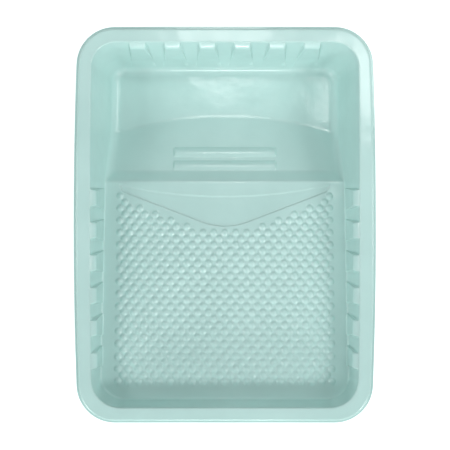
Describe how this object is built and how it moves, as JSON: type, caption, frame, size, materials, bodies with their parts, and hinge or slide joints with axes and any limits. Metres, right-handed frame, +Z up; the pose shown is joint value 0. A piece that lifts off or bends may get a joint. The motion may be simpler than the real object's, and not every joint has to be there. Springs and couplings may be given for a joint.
{
  "type": "paint roller tray",
  "caption": "Shallow moulded plastic paint roller tray with a wide flat rim, ribbed walls, a deep well at one end and a gently sloping ramp of raised bumps.",
  "frame": {"origin": "under the middle of the tray, level with the underside of the well", "axes": "+Z up with the rim level, +Y towards the deep well, +X to the right when looking along +Y"},
  "size_m": [0.2912, 0.3812, 0.066],
  "materials": {
    "formed_plastic": "glossy thin vacuum-formed polystyrene, pale mint green"
  },
  "bodies": {
    "root": {"rim": "formed_plastic", "well_end_wall": "formed_plastic", "well_side_wall_left": "formed_plastic", "well_side_wall_right": "formed_plastic", "well_corner_left": "formed_plastic", "well_corner_right": "formed_plastic", "well_floor": "formed_plastic", "well_front_slope": "formed_plastic", "ramp_step": "formed_plastic", "drain_panel": "formed_plastic", "ramp_deck": "formed_plastic", "ramp_side_wall_left": "formed_plastic", "ramp_side_wall_right": "formed_plastic", "shallow_corner_left": "formed_plastic", "shallow_corner_right": "formed_plastic", "shallow_end_wall": "formed_plastic"}
  },
  "joints": []
}
